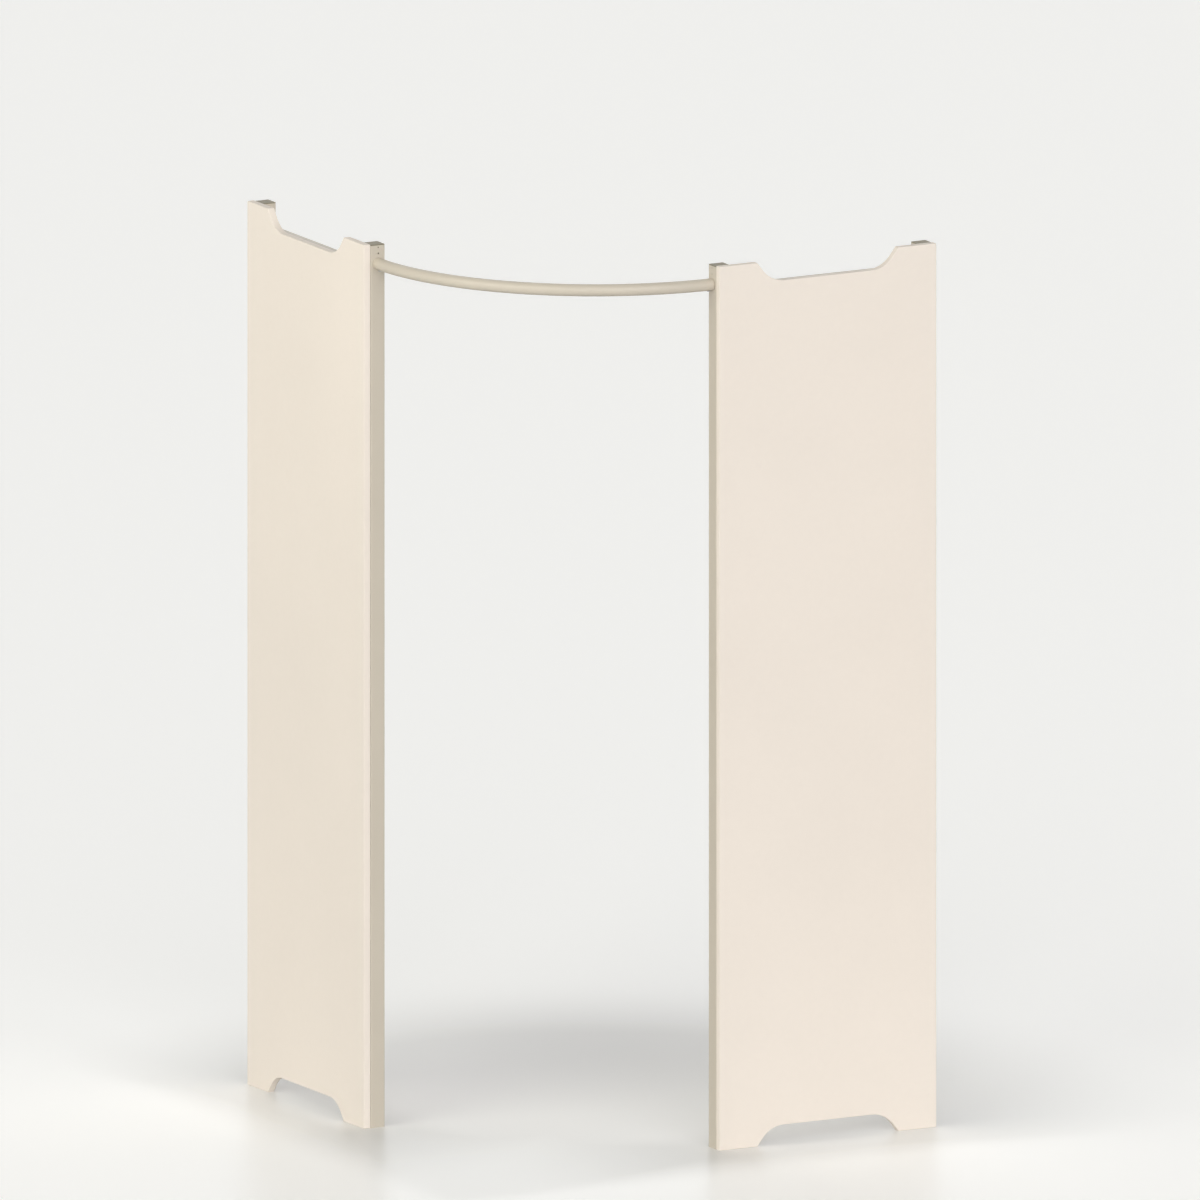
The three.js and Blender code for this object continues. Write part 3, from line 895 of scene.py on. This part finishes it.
def weld_grids(low, high, key_hole):
    """The weld round three sides of a bar's end, which by a key hole leaves a gap at a corner."""
    sizes = settings("tube")
    start = low[1] + sizes.post_corner / 2
    corners = [(start, low[2]), (high[1], low[2]), (high[1], high[2]), (start, high[2])]
    path, normals = filleted(corners, sizes.bar_corner, closed=False)
    run = np.cumsum(np.append(0, np.linalg.norm(np.diff(path, axis=0), axis=-1)))
    spans = [(0, run[-1])]
    if key_hole:
        corner = run[np.linalg.norm(path - corners[2], axis=-1).argmin()]
        spans = [(0, corner - sizes.weld_gap), (corner + sizes.weld_gap, run[-1])]
    return [bead_grid(path, normals, run, *span) for span in spans]


class FITTINGROOM_OT_welds(Operator):
    """Builds the weld round three sides of each bar's ends"""

    bl_idname = "fitting_room.welds"
    bl_label = "Welds"

    def execute(self, context):
        for side, bar, end in product(SIDES, BARS, ENDS):
            panel = PanelFrame(side)
            post_low, post_high = panel.box(f"{end}_post")
            face, way = (post_high[0], 1) if end == "front" else (post_low[0], -1)
            add_piece(
                f"{side}_{bar}_{end}_weld",
                f"{side}_{bar}_bar",
                "taupe_paint",
                weld_grids(*panel.box(f"{bar}_bar"), key_hole=(bar, end) == ("top", "front")),
                lambda points: panel.placed(points * (way, 1, 1) + (face, 0, 0)),
            )
        return {"FINISHED"}


# Caps, sockets and levelling feet

def add_to_posts(part, slot, grid):
    """A cap, socket or foot in its place in each post.

    Its grid lies about the post's middle line, and is a function of its half-size, bottom and top.
    """
    for side, end in product(SIDES, ENDS):
        node = f"{side}_{end}_{part}"
        low, high = node_box(node)
        grids = [grid((high - low)[0] / 2, low[2], high[2])]
        stand_in(node, slot, grids, lambda points: points + (low + high) / 2 * (1, 1, 0))


def square_ring(half, corner):
    """A square with round corners over its half-size, anticlockwise, with a few points a side."""
    ring, _ = filleted((FACING - ALONG) * half, corner)
    quarters = np.split(ring, len(FACING))
    share = np.linspace(0, 1, SIDE_STEPS + 1)[1:-1, None]
    points = []
    for quarter, following in zip(quarters, quarters[1:] + quarters[:1]):
        points += [quarter, (1 - share) * quarter[-1] + share * following[0]]
    return np.concatenate(points) / half


def cap_grid(half, low, high):
    """A post cap: a crowned plate with a skirt inside the tube.

    The square with round corners is scaled to each half-size of a profile that runs out under the
    plate, round the skirt, over the plate's edge and back to the middle of its top. Half-way out
    the crown has fallen by a quarter of its rise, as a parabola does.
    """
    sizes, tube = settings("hardware"), settings("tube")
    skirt_out = half - tube.post_wall - sizes.seam
    skirt_in = skirt_out - sizes.skirt_wall
    plate = high - sizes.cap_plate
    profile = [
        (0, plate),
        (skirt_in, plate),
        (skirt_in, low),
        (skirt_out, low),
        (skirt_out, plate),
        (half, plate),
        (half, high - sizes.cap_crown),
        (half / 2, high - sizes.cap_crown / 4),
        (0, high),
    ]
    small = sizes.edge
    radii = [small, small, small, small / 2, small, sizes.cap_edge, small]
    path, _ = filleted(profile, radii, closed=False)
    return wrapped(raised(path[:, :1, None] * square_ring(half, tube.post_corner), path[:, 1]))


def socket_grid(half, low, high):
    """A foot socket: a square block with a round recess for the pad and a bore for the stem.

    A ring is a share of a circle and the rest of the square with round corners, scaled to each
    size of a profile that runs round the block's section. The share falls over the middle third
    of the rim between the recess and the block's side.
    """
    sizes, tube = settings("hardware"), settings("tube")
    pad_low, pad_high = node_box("left_front_foot")
    recess = (pad_high - pad_low)[0] / 2 + sizes.pad_room
    bore = sizes.stem_radius + sizes.seam
    ceiling = sizes.pad_height + sizes.seam
    inner = [(bore, high), (bore, ceiling), (recess, ceiling), (recess, low)]
    path, _ = filleted([*inner, (half, low), (half, high)], min(sizes.edge, (half - recess) / 4))
    ring = square_ring(half, tube.post_corner - tube.post_wall)
    third = (half - recess) / 3
    roundness = np.clip((half - third - path[:, 0]) / third, 0, 1)[:, None, None]
    circle = ring / np.linalg.norm(ring, axis=-1, keepdims=True)
    shape = roundness * circle + (1 - roundness) * ring
    return wrapped(raised(path[:, :1, None] * shape, path[:, 1]), closed=True)


def threaded(radius, depth, pitch, start, end, sides=ROUND_SIDES):
    """A right-hand thread's radii and heights, whose ridge fades over one pitch at both ends.

    The ridge climbs evenly from its root to its crest and back over each pitch.
    """
    heights = np.linspace(start, end, int((end - start) / pitch * RINGS_PER_THREAD) + 2)[:, None]
    fade = np.clip(np.minimum(heights - start, end - heights) / pitch, 0, 1)
    turns = heights / pitch - side_angles(sides) / FULL_TURN
    ridge = 1 - np.abs(2 * (turns % 1) - 1)
    return radius - depth + depth * fade * ridge, heights


def foot_grid(radius, low, top):
    """A levelling foot: a grooved pad with finger grips, and a threaded stem.

    Under the pad the height is the groove's depth times half of one less the cosine of the radius
    over the pitch. Round the pad the radius loses the grip's depth times a raised cosine, squared,
    which fades in over one rounding of the rim.
    """
    sizes = settings("hardware")
    pad_top = low + sizes.pad_height
    flat = radius - sizes.pad_border
    inner = np.linspace(0, flat, int(flat / sizes.groove_pitch * RINGS_PER_GROOVE))
    grooves = low + sizes.groove_depth * (1 - np.cos(FULL_TURN * inner / sizes.groove_pitch)) / 2
    grooves[-1] = low
    pad = [(flat, low), (radius, low), (radius, pad_top), (sizes.stem_radius, pad_top)]
    path, _ = filleted(pad, sizes.pad_edge, closed=False)
    grip = sizes.scallop_depth * (0.5 - 0.5 * np.cos(sizes.scallops * side_angles(PAD_SIDES))) ** 2
    on_rim = np.clip((path[:, :1] - radius) / sizes.pad_edge + GRIP_START, 0, 1)
    thread_depth = sizes.stem_pitch * THREAD_DEPTH_SHARE
    root = sizes.stem_radius - thread_depth
    neck_top, tip = pad_top + sizes.stem_neck, top - sizes.stem_pitch / 2
    stretches = [
        (inner, grooves),
        (path[:, :1] - on_rim * grip, path[:, 1]),
        ([sizes.stem_radius, root], [neck_top, neck_top]),
        threaded(sizes.stem_radius, thread_depth, sizes.stem_pitch, neck_top, tip, PAD_SIDES),
        ([root - sizes.edge, 0], [top, top]),
    ]
    return turned(stretches, PAD_SIDES)


class FITTINGROOM_OT_caps(Operator):
    """Builds the moulded cap on each post"""

    bl_idname = "fitting_room.caps"
    bl_label = "Caps"

    def execute(self, context):
        add_to_posts("cap", "taupe_plastic", cap_grid)
        return {"FINISHED"}


class FITTINGROOM_OT_sockets(Operator):
    """Builds the socket in the lower end of each post"""

    bl_idname = "fitting_room.sockets"
    bl_label = "Sockets"

    def execute(self, context):
        add_to_posts("socket", "black_plastic", socket_grid)
        return {"FINISHED"}


class FITTINGROOM_OT_feet(Operator):
    """Builds the four levelling feet"""

    bl_idname = "fitting_room.feet"
    bl_label = "Levelling feet"

    def execute(self, context):
        add_to_posts("foot", "zinc_steel", foot_grid)
        return {"FINISHED"}


# Screws

def folded(angle, sides):
    """An angle folded into half of one of that many equal sectors."""
    sector = FULL_TURN / sides
    return np.abs((angle + sector / 2) % sector - sector / 2)


def cross(arm):
    """The radius of a cross at each side: its arm's end, or its arm's side where that is nearer.

    Half an arm's width is its length times the tangent of a few of the ring's steps, so that the
    ring has a point at each corner of the cross.
    """
    half_width = arm * math.tan(STEPS_TO_CROSS_CORNER * FULL_TURN / ROUND_SIDES)
    fold = folded(side_angles(ROUND_SIDES), 4)
    past_end = half_width / (2 * arm)
    return np.minimum(arm / np.cos(fold), half_width / np.maximum(np.sin(fold), past_end))


def pan_head(radius, seat, top, recess):
    """A screw's head: out under it, up its rim, over its crown and down into its recess.

    Over the rim the crown rises by its height times the root of one less the radius over the
    head's radius, to a power. The recess narrows towards its floor, which dips in the middle.
    """
    rim = seat + RIM_SHARE * (top - seat)
    depth = RECESS_DEPTH_SHARE * (top - seat)

    def height(at):
        return rim + (top - rim) * np.sqrt(np.clip(1 - (at / radius) ** CROWN_POWER, 0, 1))

    crown = recess + (radius - recess) * np.linspace(1, 0, CROWN_RINGS)[:, None]
    walls = np.stack([recess * (1 - LIP_SHARE), recess * RECESS_FLOOR_SHARE])
    wall_heights = np.stack([height(recess) - LIP_SHARE * depth, np.full_like(recess, top - depth)])
    floor = ([0], [top - DRILLED_SHARE * depth])
    return [([radius], [seat]), (crown, height(crown)), (walls, wall_heights), floor]


def board_screw_grid(over_all, head_radius, head_height):
    """A board screw along Z from its point: a coarse thread, a plain shank and a pan head."""
    sizes = settings("hardware")
    shank_radius = settings("tube").screw_hole - sizes.seam
    seat = over_all - head_height
    thread_end = THREADED_SHARE * seat
    depth = shank_radius - sizes.screw_core
    radii, heights = threaded(shank_radius, depth, sizes.screw_pitch, 0, thread_end)
    radii = radii * np.clip(heights / sizes.screw_point, 0, 1) ** POINT_POWER
    shank = ([shank_radius, shank_radius], [thread_end + depth, seat])
    head = pan_head(head_radius, seat, over_all, cross(sizes.screw_recess))
    return turned([(radii, heights), shank, *head])


def socket_screw_grid(over_all, head_radius, head_height, radius, pitch, key):
    """A machine screw along Z from its tip, with a round head and a hexagon socket in it.

    A hexagon's radius at an angle is half its size across over the cosine of the angle's fold.
    """
    edge = settings("hardware").edge
    seat = over_all - head_height
    root = radius - pitch * THREAD_DEPTH_SHARE
    land = (key / 2 + head_radius) / 2
    profile = [(radius, seat), (head_radius, seat), (head_radius, over_all), (land, over_all)]
    path, _ = filleted(profile, [edge, 2 * edge], closed=False)
    ring = key / 2 / np.cos(folded(side_angles(ROUND_SIDES), 6))
    key_depth = head_height * KEY_DEPTH_SHARE
    return turned([
        ([0, root], [0, 0]),
        threaded(radius, pitch * THREAD_DEPTH_SHARE, pitch, 0, seat - edge),
        ([root], [seat]),
        path.T,
        (np.stack([ring + edge, ring, ring]), over_all - np.array([0, edge, key_depth])),
        ([0], [over_all - DRILLED_SHARE * key_depth]),
    ])


class FITTINGROOM_OT_board_screws(Operator):
    """Builds the screws through the bars into the boards"""

    bl_idname = "fitting_room.board_screws"
    bl_label = "Board screws"

    def execute(self, context):
        for index, (side, place, number) in enumerate(product(SIDES, BARS, SCREWS)):
            panel, part = PanelFrame(side), f"{place}_board_screw_{number}"
            over_all, radius, lay = panel.laid(part, (0.0, 1.0, 0.0), index * GOLDEN_TURN)
            bar_face = panel.box(f"{place}_bar")[1][1]
            head_height = panel.box(part)[1][1] - bar_face - settings("hardware").seam
            grid = board_screw_grid(over_all, radius, head_height)
            stand_in(f"{side}_{part}", "zinc_steel", [grid], lay)
        return {"FINISHED"}


# Curtain rail and what holds it

def rail_grid():
    """The curtain rail: a round tube about a quarter circle.

    At angle p round the bend and a round the tube, a point lies at distance R + r cos a from the
    bend's centre and r sin a above its plane, where r is the tube's radius less the depth into the
    wall.
    """
    sizes = settings("tube")
    low, high = node_box("curtain_rail")
    tube_radius, height = (high - low)[2] / 2, (high + low)[2] / 2
    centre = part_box("right_board")[0].x
    radius = centre - (low[0] + tube_radius)
    trim = (centre - high[0] + sizes.end_round) / radius
    run = np.linspace(math.pi + trim, 3 * QUARTER_TURN - trim, RAIL_STATIONS)
    depth, bend = tube_skin(run, sizes.rail_wall, sizes.end_round, radius)
    around = side_angles(ROUND_SIDES)
    small, bend = tube_radius - depth[:, None], bend[:, None]
    reach = radius + small * np.cos(around)
    rise = height + small * np.sin(around)
    points = [centre + reach * np.cos(bend), centre + reach * np.sin(bend), rise]
    return wrapped(np.stack(points, -1), closed=True)


class FITTINGROOM_OT_rail(Operator):
    """Builds the curtain rail"""

    bl_idname = "fitting_room.rail"
    bl_label = "Curtain rail"

    def execute(self, context):
        stand_in("curtain_rail", "taupe_paint", [rail_grid()])
        return {"FINISHED"}


class FITTINGROOM_OT_rail_fixings(Operator):
    """Builds the bolts and lock screws at the rail's ends, and finishes the plugs"""

    bl_idname = "fitting_room.rail_fixings"
    bl_label = "Rail fixings"

    def execute(self, context):
        sizes = settings("hardware")
        shank = settings("tube").bolt_hole - sizes.seam
        bolt = (sizes.bolt_head, shank, sizes.bolt_pitch, sizes.bolt_key)
        lock_screw = (sizes.lock_head, sizes.lock_radius, sizes.lock_pitch, sizes.lock_key)
        kinds = (("bolt", (1.0, 0.0, 0.0), bolt), ("lock_screw", (0.0, 0.0, -1.0), lock_screw))
        for side in SIDES:
            for kind, axis, screw in kinds:
                over_all, radius, lay = PanelFrame(side).laid(f"rail_{kind}", axis)
                grid = socket_screw_grid(over_all, radius, *screw)
                stand_in(f"{side}_rail_{kind}", "zinc_steel", [grid], lay)
            plug = frame["nodes"][f"{side}_rail_plug"]
            plug.material_slots[0].material = finish("zinc_steel")
        return {"FINISHED"}


# Stage

def toward(azimuth, elevation):
    """The direction from the room to a place at that azimuth, from -Y towards -X, and elevation."""
    flat = math.cos(elevation)
    return Vector((-math.sin(azimuth) * flat, -math.cos(azimuth) * flat, math.sin(elevation)))


def add_floor(sizes):
    """A pale floor that keeps its shadows and adds a glow, which leaves painted shade near the
    room.

    The glow is the largest of four smooth rises: out from and in from the boards' outer faces, by
    the lesser of X and Y, out of the entrance, by the greater of them, and away from the middle.
    Where it stays low, under the boards and inside the room, it paints a pool of shade on the
    floor.
    """
    mesh, material = bpy.data.meshes.new("floor"), bpy.data.materials.new("floor")
    corners = (FACING - ALONG) * sizes.floor_half
    mesh.from_pydata([(*corner, 0) for corner in corners], [], [(0, 1, 2, 3)])
    mesh.materials.append(material)
    in_scene("floor", mesh)

    recipe = Recipe(material)
    recipe.finish(Base_Color=(*sizes.floor, 1.0), Roughness=0.32, Specular_IOR_Level=0.15)
    split = recipe.add("SeparateXYZ", {"Vector": recipe.place})
    nearer = recipe.math("MINIMUM", split["X"], split["Y"])
    farther = recipe.math("MAXIMUM", split["X"], split["Y"])
    away = recipe.add("VectorMath", {0: recipe.place}, operation="LENGTH")["Value"]
    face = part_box("left_board")[0].x
    # The glow is least under the boards and inside the room, which paints shade on the floor there
    glows = (
        (recipe.math("SUBTRACT", face, nearer), GLOW_OUTSIDE),
        (recipe.math("SUBTRACT", nearer, face), GLOW_INSIDE),
        (recipe.math("SUBTRACT", 0.0, farther), GLOW_ENTRANCE),
        (away, GLOW_FAR),
    )
    level = recipe.largest(
        recipe.spread(way, 0.0, share, *span, interpolation_type="SMOOTHSTEP")
        for way, (share, span) in glows
    )
    level = recipe.math("MULTIPLY", level, sizes.floor_glow)
    level = recipe.math("MULTIPLY", recipe.seen(), level)
    glow = recipe.add("Emission", {"Color": (*sizes.backdrop, 1.0), "Strength": level})["Emission"]
    both = recipe.add("AddShader", {0: recipe.surface.outputs["BSDF"], 1: glow})["Shader"]
    recipe.feed(recipe.output, "Surface", both)


def add_world(sizes):
    """Soft light from all round, stronger from the horizon than from above, and a pale backdrop."""
    world = bpy.data.worlds.new("studio")
    bpy.context.scene.world = world
    recipe = Recipe(world, "Background", "World Output", "Generated")
    up = recipe.add("SeparateXYZ", {"Vector": recipe.place})["Z"]
    fade = recipe.spread(up, HORIZON_LIGHT, 0.0, 0.0, DARK_ABOVE_SHARE)
    recipe.finish(Color=(*WHITE, 1.0), Strength=fade)
    light = recipe.surface.outputs["Background"]
    backdrop = recipe.add("Background", {"Color": (*sizes.backdrop, 1.0)})["Background"]
    mix = recipe.add("MixShader", {"Fac": recipe.seen(), 1: light, 2: backdrop})["Shader"]
    recipe.feed(recipe.output, "Surface", mix)


def add_lamp(name, kind, back, **choices):
    """A lamp that shines away from the direction back."""
    lamp = bpy.data.lights.new(name, kind)
    for key, choice in choices.items():
        setattr(lamp, key, choice)
    return in_scene(name, lamp, back)


def add_lamps(sizes):
    """The soft lamps far away, and a square one that lights the left board's top, itself unseen.

    A far lamp's energy is pi times its strength, which is the light on a face square to it.
    """
    for name, (azimuth, elevation, strength, spread, tint) in SUNS.items():
        add_lamp(
            name,
            "SUN",
            toward(math.radians(azimuth), math.radians(elevation)),
            energy=strength * math.pi,
            angle=math.radians(spread),
            color=tint,
            specular_factor=SUN_SHINE,
        )
    back = Vector(sizes.box_place) - Vector(sizes.box_target)
    box = add_lamp(
        "side_box", "AREA", back, size=sizes.box_side, energy=sizes.box_power, color=sizes.box_tint
    )
    box.location = sizes.box_place
    box.visible_camera = False


class FITTINGROOM_OT_stage(Operator):
    """Builds the camera, the floor, the world and the lamps"""

    bl_idname = "fitting_room.stage"
    bl_label = "Stage"

    def execute(self, context):
        sizes = settings("stage")
        context.scene.view_settings.view_transform = "Standard"
        back = toward(sizes.azimuth, sizes.elevation)
        camera = in_scene("camera", bpy.data.cameras.new("camera"), back)
        camera.location = Vector(sizes.aim) + back * sizes.distance
        camera.data.type = "ORTHO"
        camera.data.ortho_scale = sizes.frame_width
        camera.data.clip_end = 4 * sizes.floor_half
        context.scene.camera = camera
        add_floor(sizes)
        add_world(sizes)
        add_lamps(sizes)
        return {"FINISHED"}


GROUPS = {
    "board": BoardSizes,
    "tube": TubeSizes,
    "hardware": HardwareSizes,
    "finishes": Finishes,
    "stage": StageSizes,
}

OPERATORS = (
    FITTINGROOM_OT_stage,
    FITTINGROOM_OT_boards,
    FITTINGROOM_OT_posts,
    FITTINGROOM_OT_bars,
    FITTINGROOM_OT_welds,
    FITTINGROOM_OT_caps,
    FITTINGROOM_OT_sockets,
    FITTINGROOM_OT_feet,
    FITTINGROOM_OT_board_screws,
    FITTINGROOM_OT_rail,
    FITTINGROOM_OT_rail_fixings,
)


class FITTINGROOM_PT_panel(Panel):
    """Lists the fitting room's operators"""

    bl_label = "Fitting Room"
    bl_idname = "FITTINGROOM_PT_panel"
    bl_space_type = "VIEW_3D"
    bl_region_type = "UI"
    bl_category = "Fitting Room"

    def draw(self, context):
        for operator in OPERATORS:
            self.layout.operator(operator.bl_idname)


def register():
    for name, group in GROUPS.items():
        bpy.utils.register_class(group)
        setattr(bpy.types.Scene, f"fitting_room_{name}", PointerProperty(type=group))
    for operator in (*OPERATORS, FITTINGROOM_PT_panel):
        bpy.utils.register_class(operator)


def unregister():
    for operator in (FITTINGROOM_PT_panel, *reversed(OPERATORS)):
        bpy.utils.unregister_class(operator)
    for name, group in GROUPS.items():
        delattr(bpy.types.Scene, f"fitting_room_{name}")
        bpy.utils.unregister_class(group)


def main():
    register()
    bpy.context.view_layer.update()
    for operator in OPERATORS:
        group, name = operator.bl_idname.split(".")
        getattr(getattr(bpy.ops, group), name)()


if __name__ == "__main__":
    main()
